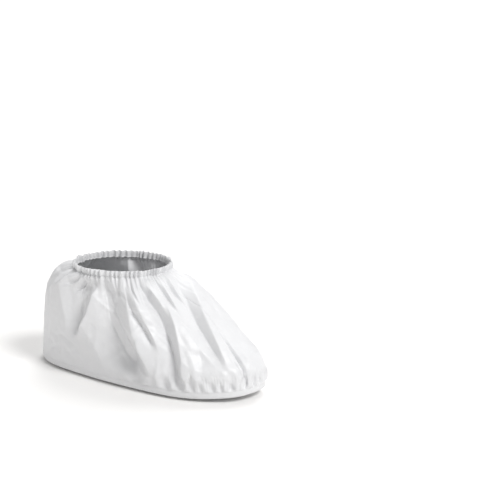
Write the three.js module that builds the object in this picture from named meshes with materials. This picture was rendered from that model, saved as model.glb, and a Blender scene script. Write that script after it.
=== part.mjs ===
// Disposable shoe cover: a bag of stiff spunbonded cloth that is pulled on over a shoe, here in
// the form that it has on a right foot. Two side panels are sewn to each other down the instep and
// the heel, and gathered onto a sole with a turned-up rim. A casing with an elastic inside gathers
// the panels' top edges round the ankle.
// Millimetres. +X points to the toe, +Y to the wearer's left, +Z up. The floor is at z = 0.
import * as THREE from "three";

// Driving dimensions
const wall = 1; // thickness of the panels and the sole
const seamGap = 0.3; // clearance between pieces that are sewn together
const sole = { rim: 11, edgeRadius: 6, edgeSteps: 3, springFrom: 70, springTo: 160, toeSpring: 6 };
const hem = { x: -46, length: 126, width: 104, height: 133, slope: 0.05, tall: 9, lean: 1.5, thick: 1.8 };
const seam = { dip: 1.4, width: 4 }; // groove along the instep and heel seams

// Guide lines that run from the sole's rim up to the hem, in order round the cover.
// x, y: the guide's foot on the rim. rise, lean: how far it heads up and outwards from there.
// turn: the direction, in degrees from the toe over the outer side, in which it meets the hem.
// flare, drop: how far outside and below the hem it comes from.
const guides = [
  { place: "toe seam", x: 149, y: -19, rise: 38, lean: 4, turn: 0, flare: 43, drop: 23 },
  { place: "outer toe", x: 120, y: -46, rise: 39, lean: 4, turn: 24, flare: 37, drop: 27 },
  { place: "outer ball", x: 72, y: -62, rise: 44, lean: 4, turn: 49, flare: 33, drop: 30 },
  { place: "outer waist", x: 8, y: -63, rise: 52, lean: 3, turn: 78, flare: 26, drop: 28 },
  { place: "outer arch", x: -65, y: -56, rise: 58, lean: 2, turn: 110, flare: 30, drop: 20 },
  { place: "outer heel", x: -134, y: -39, rise: 62, lean: -2, turn: 146, flare: 43, drop: 0 },
  { place: "heel seam", x: -165, y: 0, rise: 64, lean: -4, turn: 180, flare: 50, drop: -8 },
  { place: "inner heel", x: -134, y: 39, rise: 62, lean: -2, turn: 214, flare: 43, drop: 0 },
  { place: "inner arch", x: -65, y: 46, rise: 56, lean: 2, turn: 248, flare: 30, drop: 20 },
  { place: "inner waist", x: 8, y: 46, rise: 46, lean: 3, turn: 280, flare: 28, drop: 22 },
  { place: "inner ball", x: 88, y: 53, rise: 34, lean: 2, turn: 308, flare: 33, drop: 22 },
  { place: "inner toe", x: 148, y: 26, rise: 34, lean: 3, turn: 335, flare: 41, drop: 22 },
];

// Main folds, each a valley between two ridges that hangs from the hem.
// hem, middle, foot: where the valley lies at the hem, half-way down and at the sole, as shares of
// the way round. top, low: the shares of the height between which it is seen.
// width, depth: its half width and how deep it is.
const folds = [
  { place: "instep", hem: -0.09, middle: 0.028, foot: 0.055, top: 1, low: 0.08, width: 14, depth: 4.5 },
  { place: "outer top", hem: 0.126, middle: 0.09, foot: 0.06, top: 1, low: 0.45, width: 11, depth: 5 },
  { place: "outer front", hem: 0.1, middle: 0.138, foot: 0.16, top: 0.85, low: 0.02, width: 14, depth: 8 },
  { place: "outer short", hem: 0.19, middle: 0.184, foot: 0.2, top: 1, low: 0.28, width: 10, depth: 5.5 },
  { place: "outer long", hem: 0.255, middle: 0.241, foot: 0.223, top: 1, low: 0, width: 15, depth: 9 },
  { place: "outer heel", hem: 0.31, middle: 0.322, foot: 0.385, top: 1, low: 0.2, width: 13, depth: 6.5 },
  { place: "heel", hem: 0.41, middle: 0.42, foot: 0.44, top: 1, low: 0.5, width: 12, depth: 4.5 },
  { place: "inner heel", hem: 0.57, middle: 0.56, foot: 0.55, top: 1, low: 0.45, width: 13, depth: 5 },
  { place: "inner back", hem: 0.665, middle: 0.672, foot: 0.68, top: 1, low: 0.2, width: 14, depth: 7 },
  { place: "inner long", hem: 0.745, middle: 0.758, foot: 0.77, top: 1, low: 0, width: 15, depth: 8.5 },
  { place: "inner short", hem: 0.82, middle: 0.818, foot: 0.81, top: 1, low: 0.3, width: 10, depth: 5 },
  { place: "inner front", hem: 0.88, middle: 0.866, foot: 0.84, top: 1, low: 0.02, width: 14, depth: 7.5 },
];
const hemGathers = { count: 36, depth: 1.9, fade: 0.12 }; // small pleats below the elastic
const toeGathers = { count: 46, depth: 1.6, reach: 0.2, peak: 0.08 }; // small pleats above the rim

// Mesh density
const columns = 144;
const soleColumns = 72;
const rows = [0, 0.04, 0.1, 0.18, 0.27, 0.37, 0.47, 0.57, 0.67, 0.76, 0.84, 0.91, 0.96, 1];
const slight = 1e-3; // step for measuring directions on the curves and the wall

const { smoothstep, lerp, degToRad } = THREE.MathUtils;
const toeLift = (x) =>
  sole.toeSpring * Math.max(0, (x - sole.springFrom) / (sole.springTo - sole.springFrom)) ** 2;
const outward = (turn) => new THREE.Vector3(Math.cos(degToRad(turn)), -Math.sin(degToRad(turn)), 0);

// Smooth form of the wall: a sheet of curves from the rim to the hem's stitch line
function hemPoint({ turn }) {
  const away = outward(turn);
  const x = (hem.length / 2) * away.x;
  return new THREE.Vector3(hem.x + x, (hem.width / 2) * away.y, hem.height + hem.slope * x);
}
const rimPoint = ({ x, y }) => new THREE.Vector3(x, y, sole.rim + seamGap + toeLift(x));
function lowPoint(guide) {
  const away = new THREE.Vector3(guide.x, guide.y, 0).normalize();
  const point = rimPoint(guide).addScaledVector(away, guide.lean);
  return point.setZ(point.z + guide.rise);
}
function highPoint(guide) {
  const point = hemPoint(guide).addScaledVector(outward(guide.turn), guide.flare);
  return point.setZ(point.z - guide.drop);
}
const loop = (place) => new THREE.CatmullRomCurve3(guides.map(place), true, "catmullrom", 0.5);
const rimLoop = loop(rimPoint);
const lowLoop = loop(lowPoint);
const highLoop = loop(highPoint);
const hemLoop = loop(hemPoint);
const wrapped = (around) => around - Math.floor(around);

function rimAt(share) {
  const point = rimLoop.getPoint(share);
  return point.setZ(sole.rim + seamGap + toeLift(point.x));
}
function smoothWall(around, up) {
  const share = wrapped(around);
  return new THREE.CubicBezierCurve3(
    rimAt(share),
    lowLoop.getPoint(share),
    highLoop.getPoint(share),
    hemLoop.getPoint(share),
  ).getPoint(up);
}

// Level outward direction at the hem, square to its line
function hemAway(around) {
  const tangent = hemLoop.getTangent(wrapped(around)).setZ(0).normalize();
  return new THREE.Vector3(-tangent.y, tangent.x, 0);
}

// Outward direction of a sheet of points at one place
function normalOf(sheet, around, up) {
  const low = Math.max(0, up - slight);
  const high = Math.min(1, up + slight);
  const across = sheet(around + slight, up).sub(sheet(around - slight, up));
  const along = sheet(around, high).sub(sheet(around, low));
  return along.cross(across).normalize();
}

// Depth of the cloth's folds and gathers, outwards positive
const rimGirth = rimLoop.getLength();
const hemGirth = hemLoop.getLength();
const girth = (up) => lerp(rimGirth, hemGirth, up);
const apart = (a, b) => wrapped(a - b + 0.5) - 0.5;
const valley = (s) => -(1 - s * s) * Math.exp((-s * s) / 2);

function foldDepth(fold, around, up) {
  const down = 1 - up;
  const bow = 4 * up * down * (fold.middle - (fold.hem + fold.foot) / 2);
  const centre = lerp(fold.hem, fold.foot, down) + bow;
  const aside = (apart(around, centre) * girth(up)) / fold.width;
  const rising = smoothstep(up, fold.low, fold.low + 0.3);
  const ending = 1 - smoothstep(up, fold.top - 0.2, fold.top);
  const gathered = 0.25 * smoothstep(up, 0.8, 1) * (fold.top === 1);
  return fold.depth * (rising * ending + gathered) * valley(aside);
}
function gatherDepth(around, up) {
  const ruck = Math.cos(2 * Math.PI * hemGathers.count * around);
  const pucker = Math.sin(2 * Math.PI * toeGathers.count * around);
  const nearToe = 1 - smoothstep(Math.abs(apart(around, 0)), toeGathers.reach / 2, toeGathers.reach);
  const low = (up / toeGathers.peak) * Math.exp(1 - up / toeGathers.peak);
  return (
    hemGathers.depth * ruck * Math.exp(-(1 - up) / hemGathers.fade) +
    toeGathers.depth * pucker * nearToe * low
  );
}
function seamDip(around, up) {
  const nearest = Math.min(Math.abs(apart(around, 0)), Math.abs(apart(around, 0.5)));
  const aside = (nearest * girth(up)) / seam.width;
  return -seam.dip * Math.exp(-aside * aside) * smoothstep(up, 0, 0.1);
}
const relief = (around, up) =>
  folds.reduce((sum, fold) => sum + foldDepth(fold, around, up), 0) * smoothstep(up, 0, 0.15) +
  gatherDepth(around, up) +
  seamDip(around, up);

// The wall with its folds. They stand out level at the hem, so that the casing can follow them.
function foldedWall(around, up) {
  const direction = normalOf(smoothWall, around, up).lerp(hemAway(around), smoothstep(up, 0.7, 1));
  return smoothWall(around, up).addScaledVector(direction.normalize(), relief(around, up));
}

// A closed skin that is put together from lines of points and the strips of faces between them
class Skin {
  constructor() {
    this.positions = [];
    this.faces = [];
  }
  line(points) {
    return points.map((point) => this.positions.push(point.x, point.y, point.z) / 3 - 1);
  }
  face(...corners) {
    if (new Set(corners).size === 3) this.faces.push(...corners);
  }
  // Faces between two lines. They are seen from the side where b is on the right of a's direction.
  strip(a, b, closed = false) {
    const last = closed ? a.length : a.length - 1;
    for (let i = 0; i < last; i += 1) {
      const next = (i + 1) % a.length;
      this.face(a[i], b[i], b[next]);
      this.face(a[i], b[next], a[next]);
    }
  }
  geometry() {
    const made = new THREE.BufferGeometry();
    made.setAttribute("position", new THREE.Float32BufferAttribute(this.positions, 3));
    made.setIndex(this.faces);
    made.computeVertexNormals();
    return made;
  }
}

// A side panel: the wall from one seam to the other, as thick as the cloth
function panelGeometry(from, to) {
  const skin = new Skin();
  const steps = Math.round((to - from) * columns);
  const outer = [];
  const inner = [];
  for (let i = 0; i <= steps; i += 1) {
    const places = rows.map((up) => {
      const inset = seamGap / 2 / girth(up);
      return [THREE.MathUtils.clamp(from + i / columns, from + inset, to - inset), up];
    });
    const front = places.map(([around, up]) => foldedWall(around, up));
    const back = places.map(([around, up], j) => {
      const direction = normalOf(foldedWall, around, up);
      if (up === 0) direction.setZ(0).normalize();
      return front[j].clone().addScaledVector(direction, -wall);
    });
    outer.push(skin.line(front));
    inner.push(skin.line(back));
  }
  for (let i = 0; i < steps; i += 1) {
    skin.strip(outer[i + 1], outer[i]);
    skin.strip(inner[i], inner[i + 1]);
  }
  const edge = (lines, j) => lines.map((line) => line[j]);
  const top = rows.length - 1;
  skin.strip(outer[0], inner[0]);
  skin.strip(inner[steps], outer[steps]);
  skin.strip(edge(inner, 0), edge(outer, 0));
  skin.strip(edge(outer, top), edge(inner, top));
  return skin.geometry();
}

// The elastic hem: a ring that stands on the panels' gathered edge and follows its pleats
function hemGeometry() {
  const skin = new Skin();
  const ringAt = (over, inwards) => {
    const points = [];
    for (let i = 0; i < columns; i += 1) {
      const around = i / columns;
      const aside = (hem.lean * over) / hem.tall - inwards;
      const point = foldedWall(around, 1).addScaledVector(hemAway(around), aside);
      points.push(point.setZ(point.z + seamGap + over));
    }
    return skin.line(points);
  };
  const heights = [0, hem.tall / 2, hem.tall];
  const outer = heights.map((over) => ringAt(over, 0));
  const inner = heights.map((over) => ringAt(over, hem.thick));
  const top = heights.length - 1;
  for (let j = 0; j < top; j += 1) {
    skin.strip(outer[j], outer[j + 1], true);
    skin.strip(inner[j + 1], inner[j], true);
  }
  skin.strip(inner[0], outer[0], true);
  skin.strip(outer[top], inner[top], true);
  return skin.geometry();
}

// The sole: a flat floor that lifts at the toe, with a rounded edge and a turned-up rim
function soleGeometry() {
  const skin = new Skin();
  const ringAt = (inset, height) => {
    const points = [];
    for (let i = 0; i < soleColumns; i += 1) {
      const point = rimAt(i / soleColumns);
      const tangent = rimLoop.getTangent(i / soleColumns).setZ(0).normalize();
      points.push(new THREE.Vector3(
        point.x + inset * tangent.y,
        point.y - inset * tangent.x,
        height + toeLift(point.x),
      ));
    }
    return skin.line(points);
  };
  // Rings from the top of the rim, down round the edge to the floor
  const sideAt = (inset) => {
    const radius = sole.edgeRadius - inset;
    const rings = [ringAt(inset, sole.rim)];
    for (let k = 0; k <= sole.edgeSteps; k += 1) {
      const angle = ((Math.PI / 2) * k) / sole.edgeSteps;
      rings.push(ringAt(inset + radius * (1 - Math.cos(angle)), inset + radius * (1 - Math.sin(angle))));
    }
    return rings;
  };
  const outer = sideAt(0);
  const inner = sideAt(wall);
  const last = outer.length - 1;
  for (let k = 0; k < last; k += 1) {
    skin.strip(outer[k + 1], outer[k], true);
    skin.strip(inner[k], inner[k + 1], true);
  }
  skin.strip(outer[0], inner[0], true);
  // Floor strips from the toe to the heel, between the outer side's points and the inner side's
  const half = soleColumns / 2;
  const outerHalf = (ring) => ring.slice(0, half + 1);
  const innerHalf = (ring) => [ring[0], ...ring.slice(half).reverse()];
  skin.strip(innerHalf(outer[last]), outerHalf(outer[last]));
  skin.strip(outerHalf(inner[last]), innerHalf(inner[last]));
  return skin.geometry();
}

const pieces = [
  { name: "sole", geometry: soleGeometry(), color: 0xe9ebee, roughness: 0.5 },
  { name: "side_panel_outer", geometry: panelGeometry(0, 0.5), color: 0xf3f4f6, roughness: 0.6 },
  { name: "side_panel_inner", geometry: panelGeometry(0.5, 1), color: 0xf3f4f6, roughness: 0.6 },
  { name: "elastic_hem", geometry: hemGeometry(), color: 0xf0f1f3, roughness: 0.6 },
];
const cover = new THREE.Group();
cover.name = "shoe_cover";
for (const { name, geometry, color, roughness } of pieces) {
  const material = new THREE.MeshStandardMaterial({ name, color, roughness, metalness: 0 });
  const mesh = new THREE.Mesh(geometry, material);
  mesh.name = name;
  cover.add(mesh);
}

// The frame's origin is on the floor under the middle of the cover
const middle = new THREE.Box3().setFromObject(cover).getCenter(new THREE.Vector3());
for (const mesh of cover.children) mesh.geometry.translate(-middle.x, -middle.y, 0);

export default cover;
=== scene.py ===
import math
import bpy
import numpy as np
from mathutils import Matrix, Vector


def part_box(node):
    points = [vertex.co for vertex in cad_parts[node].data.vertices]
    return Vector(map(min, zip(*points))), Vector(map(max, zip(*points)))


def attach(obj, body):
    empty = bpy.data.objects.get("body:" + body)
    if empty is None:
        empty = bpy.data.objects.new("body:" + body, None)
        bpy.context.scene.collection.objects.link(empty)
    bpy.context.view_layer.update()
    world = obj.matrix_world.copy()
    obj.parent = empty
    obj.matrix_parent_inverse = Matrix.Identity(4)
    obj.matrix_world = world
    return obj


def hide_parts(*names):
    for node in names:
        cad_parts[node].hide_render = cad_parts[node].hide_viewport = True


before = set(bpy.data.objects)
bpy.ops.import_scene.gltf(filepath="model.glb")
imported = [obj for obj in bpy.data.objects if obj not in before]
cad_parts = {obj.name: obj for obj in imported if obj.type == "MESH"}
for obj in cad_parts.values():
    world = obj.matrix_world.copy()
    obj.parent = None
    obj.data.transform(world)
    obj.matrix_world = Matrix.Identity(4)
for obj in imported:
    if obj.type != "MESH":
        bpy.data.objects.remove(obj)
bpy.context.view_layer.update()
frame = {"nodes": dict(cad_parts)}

mm = 0.001
print("frame loaded:", ", ".join(frame["nodes"]))


# the cover's form, in millimetres, as the solids have it
form = {
    "rim": 11.3,            # foot of the panels over the floor
    "rimPoints": 72,        # round the solid sole
    "springFrom": 70.0,     # the sole lifts off the floor from here to the toe
    "springTo": 160.0,
    "toeSpring": 6.0,
    "hemX": -46.0,          # middle of the ankle opening
    "hemLength": 126.0,
    "hemWidth": 104.0,
    "hemHeight": 133.0,
    "hemSlope": 0.05,
}
guideColumns = ("x", "y", "rise", "lean", "turn", "flare", "drop")
guideRows = {               # lines from the sole's rim up to the hem, in order round the cover
    "toe seam": (149, -19, 38, 4, 0, 43, 23),
    "outer toe": (120, -46, 39, 4, 24, 37, 27),
    "outer ball": (72, -62, 44, 4, 49, 33, 30),
    "outer waist": (8, -63, 52, 3, 78, 26, 28),
    "outer arch": (-65, -56, 58, 2, 110, 30, 20),
    "outer heel": (-134, -39, 62, -2, 146, 43, 0),
    "heel seam": (-165, 0, 64, -4, 180, 50, -8),
    "inner heel": (-134, 39, 62, -2, 214, 43, 0),
    "inner arch": (-65, 46, 56, 2, 248, 30, 20),
    "inner waist": (8, 46, 46, 3, 280, 28, 22),
    "inner ball": (88, 53, 34, 2, 308, 33, 22),
    "inner toe": (148, 26, 34, 3, 335, 41, 22),
}
guide = {name: np.array(column, float) for name, column in zip(guideColumns, zip(*guideRows.values()))}


def smoothStep(x, low, high):
    t = np.clip((x - low) / (high - low), 0, 1)
    return t * t * (3 - 2 * t)


def unit(vectors):
    return vectors / np.linalg.norm(vectors, axis=-1, keepdims=True)


def apart(a, b):                    # signed distance between two shares of the way round
    return np.mod(a - b + 0.5, 1.0) - 0.5


def cubicBetween(p0, p1, p2, p3, t):
    m1, m2 = (p2 - p0) / 2, (p3 - p1) / 2
    return p1 + m1 * t + (3 * (p2 - p1) - 2 * m1 - m2) * t ** 2 + (2 * (p1 - p2) + m1 + m2) * t ** 3


def closedCurve(points, around):    # a smooth loop through the points, at shares of the way round
    place = np.mod(around, 1.0) * len(points)
    start = np.floor(place).astype(int)
    near = (points[(start + k) % len(points)] for k in (-1, 0, 1, 2))
    return cubicBetween(*near, (place - start).reshape(start.shape + (1,) * (points.ndim - 1)))


def lineLength(points):
    return np.linalg.norm(np.roll(points, -1, 0) - points, axis=1).sum()


def toeLift(x):
    along = (x - form["springFrom"]) / (form["springTo"] - form["springFrom"])
    return form["toeSpring"] * np.maximum(0, along) ** 2


def guidePoints():
    turn = np.radians(guide["turn"])
    away = np.stack([np.cos(turn), -np.sin(turn), 0 * turn], 1)
    hemX = form["hemLength"] / 2 * away[:, 0]
    hemZ = form["hemHeight"] + form["hemSlope"] * hemX
    hem = np.stack([form["hemX"] + hemX, form["hemWidth"] / 2 * away[:, 1], hemZ], 1)
    rim = np.stack([guide["x"], guide["y"], form["rim"] + toeLift(guide["x"])], 1)
    low = rim + unit(rim * [1, 1, 0]) * guide["lean"][:, None] + np.outer(guide["rise"], [0, 0, 1])
    high = hem + away * guide["flare"][:, None] - np.outer(guide["drop"], [0, 0, 1])
    return rim, low, high, hem


rimPoints, lowPoints, highPoints, hemPoints = guidePoints()


def rimLine(around):
    line = closedCurve(rimPoints, around)
    line[..., 2] = form["rim"] + toeLift(line[..., 0])
    return line


def smoothWall(around, up):         # the wall without its folds, a sheet of curves from the rim to the hem
    rim, low, high, hem = (line[:, None] for line in (
        rimLine(around), *(closedCurve(points, around) for points in (lowPoints, highPoints, hemPoints))))
    t = up[None, :, None]
    return (1 - t) ** 3 * rim + 3 * t * (1 - t) ** 2 * low + 3 * t ** 2 * (1 - t) * high + t ** 3 * hem


def wallNormals(points):            # of a closed grid of points, outwards
    across = np.roll(points, -1, 0) - np.roll(points, 1, 0)
    return unit(np.cross(np.gradient(points, axis=1), across))


def hemAway(points):                # level directions out of the hem, square to its line
    ahead = unit((np.roll(points[:, -1], -1, 0) - np.roll(points[:, -1], 1, 0)) * [1, 1, 0])
    return np.stack([-ahead[:, 1], ahead[:, 0], 0 * ahead[:, 0]], 1)


def frameShift():                   # from the form's own place to the frame's
    low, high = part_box("sole")
    outline = rimLine(np.linspace(0, 1, form["rimPoints"], endpoint=False))
    middle = (outline.min(0) + outline.max(0)) / 2
    return np.append((np.array(low) + np.array(high))[:2] / 2 / mm - middle[:2], 0.0)


shift = frameShift()
print("form placed, shift in mm:", np.round(shift, 2))


def meshPiece(name, points, faces, material):
    mesh = bpy.data.meshes.new(name)
    mesh.from_pydata(((points.reshape(-1, 3) + shift) * mm).tolist(), [], faces)
    mesh.polygons.foreach_set("use_smooth", [True] * len(mesh.polygons))
    mesh.materials.append(material)
    piece = bpy.data.objects.new(name, mesh)
    bpy.context.collection.objects.link(piece)
    return piece


def gridFaces(columns, rows, closed):   # point i * rows + j is in column i, row j
    faces = []
    for i in range(columns if closed else columns - 1):
        a, b = i * rows, (i + 1) % columns * rows
        faces += [(b + j, a + j, a + j + 1, b + j + 1) for j in range(rows - 1)]
    return faces


def thicken(piece, thickness):      # a wall inwards from the outer face
    wall = piece.modifiers.new("wall", "SOLIDIFY")
    wall.thickness = thickness * mm
    wall.offset = -1.0


# camera at the photograph's place
cameraSet = {
    "azimuth": 35.0,            # degrees round from the cover's right, and over the floor
    "elevation": 18.5,
    "distance": 2.5,
    "pixelsPerMetre": 800.0,
    "originPixel": (148.1, 375.2),  # where the frame's origin is seen
    "frameSize": 480.0,
    "sensor": 36.0,
    "farthest": 50.0,
}


def direction(azimuth, elevation):  # from the origin, both in degrees
    az, el = math.radians(azimuth), math.radians(elevation)
    return Vector((math.sin(az) * math.cos(el), -math.cos(az) * math.cos(el), math.sin(el)))


def makeCamera():
    c = cameraSet
    back = direction(c["azimuth"], c["elevation"])
    focal = c["distance"] * c["pixelsPerMetre"]
    half = c["frameSize"] / 2
    toOrigin = Vector(((c["originPixel"][0] - half) / focal, (half - c["originPixel"][1]) / focal, -1))
    data = bpy.data.cameras.new("camera")
    data.sensor_width = c["sensor"]
    data.lens = data.sensor_width * focal / c["frameSize"]
    data.clip_end = c["farthest"]
    camera = bpy.data.objects.new("camera", data)
    camera.location = back * c["distance"]
    camera.rotation_mode = "QUATERNION"
    aim = (-back).to_track_quat("-Z", "Y")
    camera.rotation_quaternion = aim @ toOrigin.rotation_difference(Vector((0, 0, -1)))
    bpy.context.collection.objects.link(camera)
    bpy.context.scene.camera = camera


makeCamera()
print("camera placed")


# shader effects that the three cloths share
clothSet = {
    "fibreSize": 1.2,           # in mm, of the fibres and of the patches they lie in
    "cloudSize": 14.0,
    "fibreDetail": 3.0,
    "fibreBend": 2.2,
    "cloudDetail": 4.0,
    "cloudTone": 0.75,          # how much the patches and the fibres tell in the tone
    "fibreTone": 0.8,
    "fibreHeight": -2.0,
    "creaseWander": 0.006,
    "creaseDetail": 1.0,
    "creaseSmooth": 0.35,
    "toneRange": (0.3, 0.75),
    "creaseReach": 0.004,       # how far in metres the creases and the fibres stand up
    "fibreReach": 0.0006,
    "sheen": 0.08,
    "sheenRough": 0.5,
}


def newGroup(name, inputs, outputs):
    tree = bpy.data.node_groups.new(name, "ShaderNodeTree")
    for label, kind, value in inputs:
        socket = tree.interface.new_socket(label, in_out="INPUT", socket_type=kind)
        if value is not None:
            socket.default_value = value
    for label, kind in outputs:
        tree.interface.new_socket(label, in_out="OUTPUT", socket_type=kind)
    return tree, tree.nodes.new("NodeGroupInput").outputs, tree.nodes.new("NodeGroupOutput").inputs


def addNode(tree, kind, links=None, **values):
    node = tree.nodes.new(kind)
    for label, value in values.items():
        setattr(node, label, value)
    for label, source in (links or {}).items():
        if hasattr(source, "is_output"):
            tree.links.new(source, node.inputs[label])
        else:
            node.inputs[label].default_value = source
    return node.outputs


def addMath(tree, operation, a, b=0.0):
    return addNode(tree, "ShaderNodeMath", {0: a, 1: b}, operation=operation)[0]


def fibreGroup():                   # bonded fibres: fine ridges that wander, in cloudy patches
    c = clothSet
    inputs = [("Vector", "NodeSocketVector", None), ("Size", "NodeSocketFloat", c["fibreSize"]),
              ("Cloud", "NodeSocketFloat", c["cloudSize"])]
    outputs = [("Tone", "NodeSocketFloat"), ("Height", "NodeSocketFloat")]
    tree, given, result = newGroup("bondedFibre", inputs, outputs)
    scale = addMath(tree, "DIVIDE", 1 / mm, given["Size"])
    fine = addNode(tree, "ShaderNodeTexNoise", {
        "Vector": given["Vector"], "Scale": scale,
        "Detail": c["fibreDetail"], "Distortion": c["fibreBend"]})["Fac"]
    ridge = addMath(tree, "ABSOLUTE", addMath(tree, "SUBTRACT", fine, 0.5))     # 0 along a fibre
    cloudScale = addMath(tree, "DIVIDE", 1 / mm, given["Cloud"])
    cloud = addNode(tree, "ShaderNodeTexNoise", {
        "Vector": given["Vector"], "Scale": cloudScale, "Detail": c["cloudDetail"]})["Fac"]
    patches = addMath(tree, "MULTIPLY", cloud, c["cloudTone"])
    fibres = addMath(tree, "MULTIPLY", ridge, c["fibreTone"])
    tree.links.new(addMath(tree, "ADD", patches, fibres), result["Tone"])
    tree.links.new(addMath(tree, "MULTIPLY", ridge, c["fibreHeight"]), result["Height"])
    return tree


def creaseGroup():                  # slight facets of a stiff cloth that has been packed flat
    c = clothSet
    inputs = [("Vector", "NodeSocketVector", None), ("Size", "NodeSocketFloat", None)]
    tree, given, result = newGroup("packedCrease", inputs, [("Height", "NodeSocketFloat")])
    scale = addMath(tree, "DIVIDE", 1 / mm, given["Size"])
    noise = addNode(tree, "ShaderNodeTexNoise", {
        "Vector": given["Vector"], "Scale": scale, "Detail": c["creaseDetail"]})["Color"]
    wander = (c["creaseWander"],) * 3
    bent = addNode(tree, "ShaderNodeVectorMath", {0: noise, 1: wander}, operation="MULTIPLY")[0]
    place = addNode(tree, "ShaderNodeVectorMath", {0: given["Vector"], 1: bent}, operation="ADD")[0]
    cells = addNode(tree, "ShaderNodeTexVoronoi", {
        "Vector": place, "Scale": scale, "Smoothness": c["creaseSmooth"]}, feature="SMOOTH_F1")["Distance"]
    tree.links.new(cells, result["Height"])
    return tree


bondedFibre, packedCrease = fibreGroup(), creaseGroup()
clothColumns = ("pale", "deep", "roughLow", "roughHigh", "fibreBump", "creaseBump", "creaseSize")
clothRows = {
    "panelCloth": ((0.785, 0.787, 0.797), (0.745, 0.747, 0.758), 0.36, 0.54, 0.05, 0.12, 9.0),
    "soleCloth": ((0.765, 0.767, 0.775), (0.72, 0.723, 0.732), 0.36, 0.55, 0.06, 0.06, 7.0),
    "hemCloth": ((0.785, 0.787, 0.797), (0.745, 0.747, 0.758), 0.45, 0.65, 0.06, 0.06, 5.0),
}


def makeCloth(name):
    c = dict(zip(clothColumns, clothRows[name]))
    material = bpy.data.materials.new(name)
    material.use_nodes = True
    tree = material.node_tree
    shader = tree.nodes["Principled BSDF"]
    place = addNode(tree, "ShaderNodeTexCoord")["Object"]
    fibre = tree.nodes.new("ShaderNodeGroup")
    fibre.node_tree = bondedFibre
    tree.links.new(place, fibre.inputs["Vector"])
    crease = tree.nodes.new("ShaderNodeGroup")
    crease.node_tree = packedCrease
    tree.links.new(place, crease.inputs["Vector"])
    crease.inputs["Size"].default_value = c["creaseSize"]
    low, high = clothSet["toneRange"]
    tone = {"Value": fibre.outputs["Tone"], "From Min": low, "From Max": high}
    blend = addNode(tree, "ShaderNodeMapRange", tone)[0]
    colour = tree.nodes.new("ShaderNodeMix")
    colour.data_type = "RGBA"           # its colours are inputs 6 and 7 and output 2
    tree.links.new(blend, colour.inputs[0])
    colour.inputs[6].default_value = (*c["deep"], 1)
    colour.inputs[7].default_value = (*c["pale"], 1)
    tree.links.new(colour.outputs[2], shader.inputs["Base Color"])
    gloss = {"To Min": c["roughLow"], "To Max": c["roughHigh"]}
    tree.links.new(addNode(tree, "ShaderNodeMapRange", tone | gloss)[0], shader.inputs["Roughness"])
    creased = addNode(tree, "ShaderNodeBump", {
        "Height": crease.outputs["Height"], "Strength": c["creaseBump"],
        "Distance": clothSet["creaseReach"]})["Normal"]
    fuzzy = addNode(tree, "ShaderNodeBump", {
        "Height": fibre.outputs["Height"], "Strength": c["fibreBump"],
        "Distance": clothSet["fibreReach"], "Normal": creased})["Normal"]
    tree.links.new(fuzzy, shader.inputs["Normal"])
    shader.inputs["Sheen Weight"].default_value = clothSet["sheen"]
    shader.inputs["Sheen Roughness"].default_value = clothSet["sheenRough"]
    return material


cloth = {name: makeCloth(name) for name in clothRows}
print("cloths made:", ", ".join(cloth))


# the side panels: gathered onto the sole below and onto the elastic above, so that they hang in folds
foldColumns = ("hem", "middle", "foot", "top", "low", "width", "depth", "lead")
foldRows = {            # where a valley lies as shares of the way round, the heights it is seen between,
                        # its width and depth, and the share of its width that it has on the heel side
    "instep top": (-0.064, 0.042, 0.026, 1, 0.5, 28, 4.5, 0.5),
    "instep": (-0.064, 0.042, 0.026, 0.72, 0.19, 14, 4.4, 0.7),
    "toe dent": (0.095, 0.088, 0.082, 0.42, 0.19, 17, 2.2, 0.9),
    "outer top": (0.148, 0.118, 0.09, 1, 0.55, 11, 5.5, 1),
    "outer front": (0.1, 0.138, 0.16, 0.75, 0.02, 14, 8, 1),
    "outer short": (0.197, 0.19, 0.205, 1, 0.28, 11, 4.6, 1),
    "outer long": (0.262, 0.257, 0.243, 1, 0, 30, 11, 0.46),
    "outer heel": (0.31, 0.337, 0.362, 0.97, 0.22, 18, 9.5, 0.5),
    "outer fan": (0.322, 0.362, 0.404, 1, 0.64, 5, 2.2, 0.5),
    "heel fan": (0.334, 0.42, 0.51, 1, 0.66, 6, 2.4, 0.5),
    "side fan": (0.387, 0.405, 0.43, 1, 0.62, 6, 2.6, 0.5),
    "back fan": (0.45, 0.455, 0.46, 1, 0.66, 7, 2.8, 0.5),
    "long gather": (0.287, 0.28, 0.27, 1, 0.76, 6, 2.8, 0.6),
    "short gather": (0.222, 0.216, 0.21, 1, 0.74, 6, 3, 0.6),
    "top gather": (0.172, 0.16, 0.15, 1, 0.7, 6, 3, 0.6),
    "front gather": (0.085, 0.07, 0.06, 1, 0.62, 7, 3, 0.6),
    "instep gather": (0.03, 0.028, 0.025, 1, 0.66, 7, 3, 0.6),
    "heel": (0.42, 0.43, 0.45, 1, 0.5, 12, 4.2, 0.8),
    "inner heel": (0.57, 0.56, 0.55, 1, 0.45, 13, 5, 0.8),
    "inner back": (0.665, 0.672, 0.68, 1, 0.2, 14, 7, 0.8),
    "inner long": (0.745, 0.758, 0.77, 1, 0, 15, 8.5, 1),
    "inner short": (0.82, 0.818, 0.81, 1, 0.3, 10, 5, 1),
    "inner front": (0.88, 0.866, 0.84, 1, 0.02, 14, 7.5, 1),
}
fold = [dict(zip(foldColumns, row)) for row in foldRows.values()]
foldSection = (         # across a fold from its heel side to its toe side, in widths and depths
    (-2.8, 0), (-1.2, -0.5), (0, -1), (0.85, 0.28), (1.7, 0.18), (2.8, 0),
)
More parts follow.
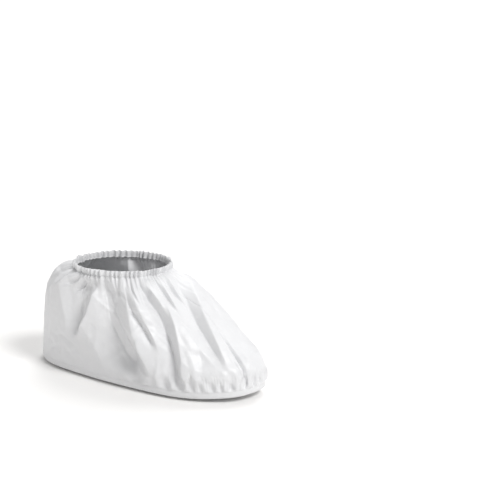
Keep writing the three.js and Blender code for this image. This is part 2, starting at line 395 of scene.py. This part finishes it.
foldSet = {
    "sway": 2.0,            # how far in mm the folds sway from their lines, and how often
    "swayTurn": 9,
    "swayStart": 40,
    "openFoot": 0.15,       # a fold that starts above this narrows to a tip
    "tip": 0.15,            # the tip's share of the width, and what a wide heel side adds to it
    "tipLead": 0.6,
    "tipRun": 0.5,
    "endRun": 0.2,
    "hemShare": 0.12,       # of its depth, which a fold that runs to the hem keeps there
    "hemFrom": 0.8,
    "footRun": 0.15,
}
puckerColumns = ("place", "top", "width", "depth")
puckerRows = (          # short puckers on the rim round the toe, from the inner side to the outer
    (-0.178, 0.14, 6, 1.8), (-0.150, 0.21, 8, 2.6), (-0.126, 0.12, 5, 1.8), (-0.101, 0.23, 8, 2.8),
    (-0.080, 0.12, 4, 1.6), (-0.060, 0.16, 6, 2.6), (-0.040, 0.13, 5, 3.2), (-0.023, 0.16, 4, 3.2),
    (0.006, 0.15, 5, 2.6), (0.020, 0.10, 4, 1.8), (0.040, 0.20, 7, 2.8), (0.066, 0.11, 4, 1.8),
    (0.086, 0.13, 5, 1.8), (0.112, 0.15, 5, 2.2), (0.128, 0.24, 6, 3.2), (0.152, 0.20, 8, 3.6),
    (0.181, 0.16, 8, 3.2), (0.204, 0.12, 6, 2.0), (0.235, 0.15, 9, 2.2),
)
pucker = [dict(zip(puckerColumns, row)) for row in puckerRows]
puckerSet = {
    "footRun": 0.03,        # the height over which a pucker starts, and the share of it at full depth
    "full": 0.3,
    "rollRun": 0.06,
}
rollColumns = ("place", "reach", "height", "tall", "swell")
rollRows = {            # the cloth stands out over the toe's edge and turns back to the rim below it
    "outer": (0.075, 0.085, 0.17, 0.075, 4),
    "inner": (-0.075, 0.07, 0.2, 0.11, 6.5),
}
toeRoll = [dict(zip(rollColumns, row)) for row in rollRows.values()]
panelSet = {
    "columns": 240,         # round the cover on the first grid, must be even
    "rows": 43,             # from the sole's rim up to the hem on the first grid
    "foldScale": 1.75,      # how deep the main folds start
    "hemPleats": 60,        # small pleats that the elastic draws together
    "pleatMean": 0.85,      # their mean size, as a share of the depth
    "hemDepth": 1.7,
    "hemFade": 0.08,        # share of the height over which they die out
    "hemLevel": 0.7,        # from here up the folds stand out level
    "hemStand": 1.2,        # stands up into the casing
    "hemCut": 480.0,        # both panels' top edges, laid flat
    "hemFrom": 0.85,        # the height from which the spare cloth of the hem is felt
    "slack": 1.002,         # spare height
    "toeSpare": 0.12,       # spare girth that is gathered onto the sole round the toe
    "toeMiddle": 0.01,
    "toeReach": 0.2,
    "toeTop": 0.22,
    "toeRun": 0.04,
    "toeFull": 0.4,
    "seamDip": 3.8,         # groove along the instep and heel seams
    "seamWidth": 2.7,
    "seamRun": 0.06,
    "seamEnd": (0.3, 0.55),  # the groove gets shallow between these heights
    "seamLoss": 0.9,
    "seamGap": 0.2,
    "tuck": 4.0,            # turned in along the seams
    "crisp": 0.2,           # how tightly the cloth turns there
    "thickness": 0.45,
}
drapeSet = {
    "steps": (120, 40),     # on the first grid and on the finer one
    "sweeps": 4,            # times the lengths are set right in a step
    "shear": 0.6,           # stiffness of the cloth's diagonals, then of its bends
    "bend": 0.02,
    "keepSpeed": 0.9,
    "swell": 0.003,         # outward push of the foot's room inside, in mm a step
    "pull": 0.08,           # share of the way back to the laid folds in a step
    "giveBack": 0.5,        # share of what lies beyond the room that is taken back in a step
    "unevenness": 0.12,     # in mm, of the cloth before it is draped
    "seed": 7,
}
creaseSet = {
    "count": 120,
    "levels": (0.05, 0.9),  # shares of the height, then sizes in mm
    "reach": (10.0, 38.0),
    "width": (3.5, 8.0),
    "deep": (0.35, 1.2),
    "footFade": (0, 0.1),
    "hemFade": (0.8, 0.95),
    "seed": 11,
}
roomRows = {                # how far in mm the cloth may lie inside and outside the smooth wall
    "sides": (15.0, 5.0),
    "instep": (7.0, 5.0),
    "heel": (4.0, 0.8),
}
roomReach = 0.07            # share of the way round over which the instep and the heel are felt
seams = (0, 0.5)            # toe and heel seam as shares of the way round
waverStart = 1.9            # sets the waves of an unevenness apart


def foldRelief(around, up, girth):
    p = foldSet
    total = 0 * around * up
    for f in fold:
        bow = 4 * up * (1 - up) * (f["middle"] - (f["hem"] + f["foot"]) / 2)
        centre = f["hem"] * up + f["foot"] * (1 - up) + bow
        centre = centre + p["sway"] / girth * np.sin(p["swayTurn"] * up + p["swayStart"] * f["middle"])
        toToe = -1 if f["middle"] < seams[1] else 1
        tip = 1 if f["low"] < p["openFoot"] else p["tip"] + p["tipLead"] * f["lead"]
        narrow = tip + (1 - tip) * smoothStep(up, f["low"], f["low"] + p["tipRun"])
        s = apart(around, centre) * girth / (f["width"] * narrow) * toToe
        s = np.where(s < 0, s / f["lead"], s)
        ending = 1 - smoothStep(up, f["top"] - p["endRun"], f["top"])
        reach = smoothStep(up, f["low"], f["low"] + p["endRun"]) * ending
        reach = reach + p["hemShare"] * smoothStep(up, p["hemFrom"], 1) * (f["top"] == 1)
        total = total + f["depth"] * reach * np.interp(s, *zip(*foldSection))
    return total * smoothStep(up, 0, p["footRun"])


def puckerRelief(around, up, girth):
    total = 0 * around * up
    for k in pucker:
        s = apart(around, k["place"]) * girth / k["width"]
        ending = 1 - smoothStep(up, puckerSet["full"] * k["top"], k["top"])
        reach = smoothStep(up, 0, puckerSet["footRun"]) * ending
        total = total - k["depth"] * reach * (1 - s * s) * np.exp(-s * s / 2)
    for r in toeRoll:
        beside = apart(around, r["place"]) / r["reach"]
        above = (up - r["height"]) / r["tall"]
        started = smoothStep(up, 0, puckerSet["rollRun"])
        total = total + r["swell"] * np.exp(-beside ** 4 - above ** 2) * started
    return total


def waver(around, *waves):          # closes on itself, from pairs of waves round the cover and size
    return sum(size * np.sin(2 * np.pi * count * around + waverStart * count) for count, size in waves)


def pleatWave(around):              # runs from -1 in a pleat's valley to 1 on its ridge, unevenly
    wander = waver(around, (5, 1.1), (8, 0.9), (13, 0.8), (19, 0.6), (29, 0.35))
    return np.cos(2 * np.pi * panelSet["hemPleats"] * around + wander)


def pleatHeight(around):
    return panelSet["pleatMean"] + waver(around, (9, 0.24), (14, 0.22), (23, 0.2))


def seededWall(columns, rows):      # the smooth wall, and the wall with its main folds laid in
    p = panelSet
    around, up = np.linspace(0, 1, columns, endpoint=False), np.linspace(0, 1, rows)
    smooth = smoothWall(around, up)
    girth = lineLength(smooth[:, 0]) * (1 - up) + lineLength(smooth[:, -1]) * up
    around, up = around[:, None], up[None, :]
    level = smoothStep(up, p["hemLevel"], 1)[..., None]
    out = wallNormals(smooth) * (1 - level) + hemAway(smooth)[:, None] * level
    fade = p["hemFade"] * (1 + waver(around, (7, 0.25), (16, 0.25), (27, 0.2)))
    pleats = p["hemDepth"] * pleatHeight(around) * pleatWave(around) * np.exp((up - 1) / fade)
    relief = p["foldScale"] * foldRelief(around, up, girth) + puckerRelief(around, up, girth) + pleats
    return around, up, smooth, smooth + unit(out) * relief[..., None]


def across(points):
    return np.linalg.norm(np.roll(points, -1, 0) - points, axis=2)


def along(points):
    return np.linalg.norm(np.diff(points, axis=1), axis=2)


def cutLengths(around, up, smooth, laid):     # the cloth's own lengths between neighbours on the grid
    p = panelSet
    own, wide = across(smooth), across(laid)
    girth = own.sum(0)
    cut = girth[0] * (1 - up[0]) + p["hemCut"] * up[0]
    hemSpare = np.maximum(own * cut / girth - wide, 0) * smoothStep(up, p["hemFrom"], 1)
    nearToe = 1 - smoothStep(np.abs(apart(around, p["toeMiddle"])), p["toeReach"] / 2, p["toeReach"])
    ending = 1 - smoothStep(up, p["toeFull"] * p["toeTop"], p["toeTop"])
    low = smoothStep(up, 0, p["toeRun"]) * ending
    spare = hemSpare + own * p["toeSpare"] * nearToe * low
    spare[:, [0, -1]] = 0
    return wide + spare, along(laid) * p["slack"]


def following(grid, steps=1):       # the grid with each column in the place of the one before it
    return np.roll(grid, -steps, 0)


def clothLinks(laid, wide, tall):     # pairs of points, the length between them and how firmly it is kept
    columns, rows = laid.shape[:2]
    point = np.arange(columns * rows).reshape(columns, rows)
    column = point // rows
    row = point % rows
    sideways = following(laid)[:, :-1] - laid[:, :-1]
    upward = laid[:, 1:] - laid[:, :-1]
    skew = (unit(sideways) * unit(upward)).sum(2)
    w, t = (wide[:, :-1] + wide[:, 1:]) / 2, (tall + following(tall)) / 2
    leaning, counter = (np.sqrt(w * w + t * t + 2 * w * t * side) for side in (skew, -skew))
    firm, bend = drapeSet["shear"], drapeSet["bend"]
    odd = column[:, :-1] % 2
    families = (        # first point, second point, length, firmness, group that shares no point
        (point, following(point), wide, 1.0, column % 2),
        (point[:, :-1], point[:, 1:], tall, 1.0, row[:, :-1] % 2),
        (point[:, :-1], following(point)[:, 1:], leaning, firm, odd),
        (following(point)[:, :-1], point[:, 1:], counter, firm, odd),
        (point, following(point, 2), wide + following(wide), bend, column // 2 % 2),
        (point[:, :-2], point[:, 2:], tall[:, :-1] + tall[:, 1:], bend, row[:, :-2] // 2 % 2),
    )
    free = (row > 0) & (row < rows - 1)     # both edges are sewn down
    loose = free.ravel().astype(float)
    links = []
    for first, second, length, firmness, group in families:
        for k in (0, 1):
            pick = (group == k) & (loose[first] + loose[second] > 0)
            a, b = first[pick], second[pick]
            share = firmness / (loose[a] + loose[b])
            links.append((a, b, length[pick], (share * loose[a])[:, None], (share * loose[b])[:, None]))
    return links, loose[:, None]


def clothRoom(columns, rows):
    share = np.repeat(np.arange(columns) / columns, rows)[:, None]
    nearToe, nearHeel = (np.exp(-(apart(share, seam) / roomReach) ** 2) for seam in seams)
    return [side + (instep - side) * nearToe + (heel - side) * nearHeel
            for side, instep, heel in zip(*roomRows.values())]


def settle(points, smooth, laid, links, loose, steps):
    d = drapeSet
    inside, outside = clothRoom(*points.shape[:2])
    shape, x = points.shape, points.reshape(-1, 3).copy()
    base, out = smooth.reshape(-1, 3), wallNormals(smooth).reshape(-1, 3)
    goal = laid.reshape(-1, 3)
    before = x
    for step in range(steps):
        speed = (x - before) * d["keepSpeed"]
        before = x
        x = x + (speed + out * d["swell"] + (goal - x) * d["pull"]) * loose
        for sweep in range(d["sweeps"]):
            for a, b, length, shareA, shareB in links:
                gap = x[b] - x[a]
                gap *= (1 - length / np.sqrt((gap * gap).sum(1)))[:, None]
                x[a] += shareA * gap
                x[b] -= shareB * gap
        off = ((x - base) * out).sum(1, keepdims=True)
        over = np.maximum(off - outside, 0) - np.maximum(-inside - off, 0)
        x = x - d["giveBack"] * out * over * loose
    return x.reshape(shape)


def finerGrid(points):              # twice the columns and the rows, on smooth curves through the points
    columns, rows = points.shape[:2]
    half = closedCurve(points, np.arange(2 * columns) / (2 * columns))
    place = np.arange(2 * rows - 1) / 2
    start = np.minimum(place.astype(int), rows - 2)
    near = (half[:, np.clip(start + k, 0, rows - 1)] for k in (-1, 0, 1, 2))
    return cubicBetween(*near, (place - start)[None, :, None])


def drapePanels():
    p, d = panelSet, drapeSet
    around, up, smooth, laid = seededWall(p["columns"], p["rows"])
    rough = np.random.default_rng(d["seed"]).normal(size=smooth.shape[:2]) * d["unevenness"]
    rough[:, [0, -1]] = 0
    points = laid + wallNormals(smooth) * rough[..., None]
    for level, steps in enumerate(d["steps"]):
        if level:
            points = finerGrid(points)
            around, up, smooth, laid = seededWall(*points.shape[:2])
            points[:, 0], points[:, -1] = laid[:, 0], laid[:, -1]
        links, loose = clothLinks(laid, *cutLengths(around, up, smooth, laid))
        points = settle(points, smooth, laid, links, loose, steps)
    return around, up, smooth, points


def seamGroove(around, up, points):
    p = panelSet
    girth = across(points).sum(0)
    nearest = np.minimum(*(np.abs(apart(around, seam)) for seam in seams)) * girth
    fade = smoothStep(up, 0, p["seamRun"]) * (1 - p["seamLoss"] * smoothStep(up, *p["seamEnd"]))
    dip = p["seamDip"] * fade * np.exp(-(nearest / p["seamWidth"]) ** 2)
    return points - wallNormals(points) * dip[..., None]


def pressCreases(around, up, points):    # short creases every way, from the cloth's time folded in a pack
    c = creaseSet
    random = np.random.default_rng(c["seed"])
    girth, height = across(points).sum(0), along(points).sum(1).mean()
    total = 0 * around * up
    for k in range(c["count"]):
        place = random.uniform(0, 1)
        level = random.uniform(*c["levels"])
        turn = random.uniform(0, math.pi)
        reach, width, deep = (random.uniform(*c[key]) for key in ("reach", "width", "deep"))
        aside, above = apart(around, place) * girth, (up - level) * height
        lengthways = aside * math.cos(turn) + above * math.sin(turn)
        sideways = above * math.cos(turn) - aside * math.sin(turn)
        sharp = np.maximum(1 - np.abs(sideways) / width, 0)
        ridge = sharp * np.maximum(1 - (lengthways / reach) ** 2, 0)
        total = total + deep * random.choice((-1, 1)) * ridge
    total = total * smoothStep(up, *c["footFade"]) * (1 - smoothStep(up, *c["hemFade"]))
    return points + wallNormals(points) * total[..., None]


around, up, smooth, draped = drapePanels()
draped = seamGroove(around, up, pressCreases(around, up, draped))
offset = ((draped - smooth) * wallNormals(smooth)).sum(2)
spread = np.percentile(offset, [0, 5, 25, 50, 75, 95, 100])
print("panels draped, off the smooth wall by mm:", np.round(spread, 1))


def makePanel(name, first):         # half of the wall, from one seam to the other, with its edges turned in
    p = panelSet
    columns = draped.shape[0]
    pick = (first + np.arange(columns // 2 + 1)) % columns
    grid, out = draped[pick].copy(), wallNormals(draped)[pick]
    grid[0] += unit(grid[1] - grid[0]) * p["seamGap"] / 2
    grid[-1] += unit(grid[-2] - grid[-1]) * p["seamGap"] / 2
    near = p["crisp"]

    def turnedIn(edge, beside, away):
        return [edge - away * p["tuck"], edge - away * near, edge, edge * (1 - near) + beside * near]

    start = turnedIn(grid[0], grid[1], out[0])
    end = turnedIn(grid[-1], grid[-2], out[-1])[::-1]
    grid = np.stack([*start, *grid[1:-1], *end])
    hold = grid[:, 0] * (1 - near) + grid[:, 1] * near
    head = grid[:, -1] + [0, 0, p["hemStand"]]
    grid = np.concatenate([grid[:, :1], hold[:, None], grid[:, 1:], head[:, None]], 1)
    piece = meshPiece(name, grid, gridFaces(grid.shape[0], grid.shape[1], False), cloth["panelCloth"])
    thicken(piece, p["thickness"])
    return piece


panelOuter = makePanel("panelOuter", 0)
panelInner = makePanel("panelInner", draped.shape[0] // 2)
print("panels made:", len(panelOuter.data.polygons), "faces each")


# the casing that holds the elastic, gathered with the panels' top edges
casingSet = {
    "columns": 1200,
    "section": 22,          # points round the casing's section
    "tall": 7.6,
    "half": 0.8,            # half its thickness where it is fullest
    "lean": 1.2,            # how far its top leans out
    "lumps": 0.5,           # how much fuller it is on a ridge than in a pleat
    "ruffle": 0.6,          # rise and fall of its top edge
    "ruffleMean": 0.8,
    "rufflePleat": 0.6,
    "rib": 0.3,             # small knots between the pleats
    "square": 0.7,          # below 1 the section is fuller than a round one
    "pinch": 0.55,          # how much the stitches draw its foot together
    "pinchRange": (0.1, 1),
    "pinchDepth": 0.6,
    "lift": 0.3,            # its foot over the panels' edges
}
stitchSet = {
    "over": 1.3,            # height over the casing's foot
    "pitch": 2.7,           # from one stitch to the next
    "long": 1.9,
    "thick": 0.42,
    "sides": 6,             # of a stitch's mesh
    "rings": 5,
}


def casingPoints():
    c = casingSet
    share = np.arange(c["columns"]) / c["columns"]
    path = closedCurve(draped[:, -1], share)
    out = unit(closedCurve(hemAway(smooth), share))
    turn = 2 * np.pi * np.arange(c["section"]) / c["section"]
    rise = (1 - np.cos(turn)) / 2
    ridge = pleatHeight(share) * (0.5 + 0.5 * pleatWave(share))
    knots = waver(share, (41, 0.3), (67, 0.3), (97, 0.4), (131, 0.3))[:, None]
    rib = c["rib"] * knots * np.cos(2 * np.pi * rise + waver(share, (23, 1.4), (59, 1.2))[:, None])
    full = c["half"] * (1 - c["lumps"] + 2 * c["lumps"] * ridge[:, None]) + rib
    side = np.sign(np.sin(turn)) * np.abs(np.sin(turn)) ** c["square"]
    pinch = c["pinch"] + waver(share, (19, 0.25), (33, 0.25), (47, 0.2))
    pinch = np.clip(pinch, *c["pinchRange"])[:, None] * (1 - rise) ** 3
    aside = full * side * (1 - c["pinchDepth"] * pinch) + c["lean"] * rise
    ruffle = pleatHeight(share) - c["ruffleMean"] + c["rufflePleat"] * pleatWave(share)
    tall = c["tall"] + c["ruffle"] * ruffle
    points = path[:, None] + out[:, None] * aside[..., None]
    points[..., 2] += c["lift"] + tall[:, None] * rise[None, :]
    return points


def ringFaces(columns, section):    # a closed tube, its section running up the outer side
    faces = []
    for i in range(columns):
        a, b = i * section, (i + 1) % columns * section
        for j in range(section):
            k = (j + 1) % section
            faces.append((b + j, a + j, a + k, b + k))
    return faces


casing = casingPoints()
hemCasing = meshPiece("hemCasing", casing, ringFaces(*casing.shape[:2]), cloth["hemCloth"])
print("casing made:", len(hemCasing.data.polygons), "faces")


def stitchTree():                   # stitches laid end to end along a line
    tree = bpy.data.node_groups.new("stitchRow", "GeometryNodeTree")
    inputs = {"Line": "NodeSocketGeometry", "Pitch": "NodeSocketFloat", "Long": "NodeSocketFloat",
              "Thick": "NodeSocketFloat", "Thread": "NodeSocketMaterial"}
    for label, kind in inputs.items():
        tree.interface.new_socket(label, in_out="INPUT", socket_type=kind)
    tree.interface.new_socket("Stitches", in_out="OUTPUT", socket_type="NodeSocketGeometry")
    given = tree.nodes.new("NodeGroupInput").outputs
    result = tree.nodes.new("NodeGroupOutput").inputs
    line = addNode(tree, "GeometryNodeMeshToCurve", {"Mesh": given["Line"]})["Curve"]
    even = addNode(tree, "GeometryNodeResampleCurve", {"Curve": line, "Length": given["Pitch"]},
                   mode="LENGTH")["Curve"]
    places = addNode(tree, "GeometryNodeCurveToPoints", {"Curve": even}, mode="EVALUATED")
    bead = addNode(tree, "GeometryNodeMeshUVSphere", {
        "Segments": stitchSet["sides"], "Rings": stitchSet["rings"], "Radius": 0.5})["Mesh"]
    thick = given["Thick"]
    size = addNode(tree, "ShaderNodeCombineXYZ", {"X": thick, "Y": thick, "Z": given["Long"]})[0]
    stitch = addNode(tree, "GeometryNodeTransform", {"Geometry": bead, "Scale": size})["Geometry"]
    row = addNode(tree, "GeometryNodeInstanceOnPoints", {
        "Points": places["Points"], "Instance": stitch, "Rotation": places["Rotation"]})["Instances"]
    real = addNode(tree, "GeometryNodeRealizeInstances", {"Geometry": row})["Geometry"]
    smoothed = addNode(tree, "GeometryNodeSetShadeSmooth", {"Geometry": real})["Geometry"]
    dressed = addNode(tree, "GeometryNodeSetMaterial", {
        "Geometry": smoothed, "Material": given["Thread"]})["Geometry"]
    tree.links.new(dressed, result["Stitches"])
    return tree


def makeStitches():
    s, c = stitchSet, casingSet
    turn = math.acos(1 - 2 * s["over"] / c["tall"]) / (2 * math.pi) * c["section"]
    low, part = int(turn), turn - int(turn)
    line = casing[:, low] * (1 - part) + casing[:, low + 1] * part
    mesh = bpy.data.meshes.new("stitchLine")
    count = len(line)
    mesh.from_pydata(((line + shift) * mm).tolist(), [(i, (i + 1) % count) for i in range(count)], [])
    path = bpy.data.objects.new("stitchLine", mesh)
    bpy.context.collection.objects.link(path)
    sewing = path.modifiers.new("sewing", "NODES")
    sewing.node_group = stitchTree()
    values = {"Pitch": s["pitch"] * mm, "Long": s["long"] * mm, "Thick": s["thick"] * mm}
    values["Thread"] = cloth["hemCloth"]
    for item in sewing.node_group.interface.items_tree:
        if item.in_out == "INPUT" and item.name in values:
            sewing[item.identifier] = values[item.name]
    sewn = path.evaluated_get(bpy.context.evaluated_depsgraph_get())
    made = bpy.data.meshes.new_from_object(sewn)
    made.name = "hemStitches"
    bpy.data.objects.remove(path)
    piece = bpy.data.objects.new("hemStitches", made)
    bpy.context.collection.objects.link(piece)
    return piece


hemStitches = makeStitches()
print("stitches made:", len(hemStitches.data.polygons), "faces")


# the sole: one sheet whose edge is turned up all round as a low rim
soleSet = {
    "columns": 360,
    "rim": 11.0,
    "rimSteps": 5,
    "edgeHeight": 6.0,      # the rim turns under from here, tightly at first and then in a long slack run
    "edgeRadius": 3.0,
    "edgeSteps": 6,
    "slackRun": 22.0,
    "slackSteps": 5,
    "turnIn": ((3.0, 0.25), (0.2, 0.25), (0.02, 0.2)),  # how far in and over the rim its top edge turns
    "bulge": 0.2,           # the rim's slight roundness between its edge and its seam
    "wobble": 0.3,          # unevenness of the rim
    "rings": 7,             # from the slack run to the middle of the floor
    "spine": (-95.0, 85.0),  # from heel to toe, the line that the sole's edge is drawn in to
    "middle": (-10.0, -3.0),
    "thickness": 0.5,
}


def soleRings():
    s = soleSet
    share = np.arange(s["columns"]) / s["columns"]
    edge = rimLine(share)
    spine = np.stack([np.clip(edge[:, 0], *s["spine"]), 0 * share + s["middle"][1], 0 * share], 1)
    inward = unit((spine - edge) * [1, 1, 0])
    lift = toeLift(edge[:, 0])
    wave = waver(share, (5, 0.4), (11, 0.4), (17, 0.4), (29, 0.4), (43, 0.4))
    rings = []

    def addRing(inset, height, uneven=0.0):
        ring = edge + inward * (inset - uneven * s["wobble"] * wave)[:, None]
        ring[:, 2] = height + lift
        rings.append(ring)

    still = 0 * share
    for inset, over in s["turnIn"]:
        addRing(still + inset, s["rim"] + over)
    for t in np.linspace(0, 1, s["rimSteps"]):
        height = s["rim"] + (s["edgeHeight"] - s["rim"]) * t
        addRing(still - s["bulge"] * math.sin(math.pi / 2 * t), height, math.sin(math.pi * t))
    for turn in np.linspace(0, math.pi / 2, s["edgeSteps"] + 1)[1:]:
        inset = s["edgeRadius"] * (1 - math.cos(turn)) - s["bulge"]
        addRing(still + inset, s["edgeHeight"] - s["edgeRadius"] * math.sin(turn))
    for t in np.linspace(0, 1, s["slackSteps"] + 1)[1:]:
        inset = s["edgeRadius"] - s["bulge"] + s["slackRun"] * t
        addRing(still + inset, (s["edgeHeight"] - s["edgeRadius"]) * (1 - t) ** 2)
    foot = rings[-1]
    middle = np.append(s["middle"], 0.0)
    for k in range(1, s["rings"]):
        ring = middle + (foot - middle) * (1 - k / s["rings"])
        ring[:, 2] = toeLift(ring[:, 0])
        rings.append(ring)
    return np.stack(rings, 1), middle


def makeSole():
    rings, middle = soleRings()
    columns, rows = rings.shape[:2]
    points = np.concatenate([rings.reshape(-1, 3), middle[None]])
    faces = [tuple(reversed(face)) for face in gridFaces(columns, rows, True)]
    last = len(points) - 1
    faces += [(i * rows + rows - 1, (i + 1) % columns * rows + rows - 1, last) for i in range(columns)]
    piece = meshPiece("soleTray", points, faces, cloth["soleCloth"])
    thicken(piece, soleSet["thickness"])
    return piece


soleTray = makeSole()
print("sole made:", len(soleTray.data.polygons), "faces")


# what each piece stands for
def dress(piece, slot, *nodes):
    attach(piece, "root")
    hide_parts(*nodes)


dress(panelOuter, "panel_cloth", "side_panel_outer")
dress(panelInner, "panel_cloth", "side_panel_inner")
dress(hemCasing, "hem_cloth", "elastic_hem")
dress(hemStitches, "hem_cloth", "elastic_hem")
dress(soleTray, "sole_cloth", "sole")


# floor and studio light
floorSet = {"size": 40.0, "colour": (0.965, 0.956, 0.945), "roughness": 0.9}
skySet = {"colour": (1.0, 1.0, 1.0), "strength": 0.46}
lampColumns = ("aside", "height", "strength", "spread")
lampRows = {                # degrees to the right of the camera and over the floor, then power and softness
    "key": (40.0, 46.0, 1.8, 20.0),
    "rear": (165.0, 54.0, 1.1, 35.0),
}


def makeFloor():
    half = floorSet["size"] / 2
    mesh = bpy.data.meshes.new("floor")
    corners = [(-half, -half, 0), (half, -half, 0), (half, half, 0), (-half, half, 0)]
    mesh.from_pydata(corners, [], [(0, 1, 2, 3)])
    paint = bpy.data.materials.new("floor")
    paint.use_nodes = True
    shader = paint.node_tree.nodes["Principled BSDF"]
    shader.inputs["Base Color"].default_value = (*floorSet["colour"], 1)
    shader.inputs["Roughness"].default_value = floorSet["roughness"]
    mesh.materials.append(paint)
    floor = bpy.data.objects.new("floor", mesh)
    bpy.context.collection.objects.link(floor)


def makeSky():
    world = bpy.data.worlds.new("studio")
    world.use_nodes = True
    sky = world.node_tree.nodes["Background"]
    sky.inputs["Color"].default_value = (*skySet["colour"], 1)
    sky.inputs["Strength"].default_value = skySet["strength"]
    bpy.context.scene.world = world


def makeLamp(name):
    values = dict(zip(lampColumns, lampRows[name]))
    towards = direction(cameraSet["azimuth"] + values["aside"], values["height"])
    data = bpy.data.lights.new(name, "SUN")
    data.energy = values["strength"]
    data.angle = math.radians(values["spread"])
    lamp = bpy.data.objects.new(name, data)
    lamp.rotation_mode = "QUATERNION"
    lamp.rotation_quaternion = (-towards).to_track_quat("-Z", "Y")
    bpy.context.collection.objects.link(lamp)


makeFloor()
makeSky()
for name in lampRows:
    makeLamp(name)
bpy.context.scene.view_settings.view_transform = "Standard"
print("floor and lights placed")
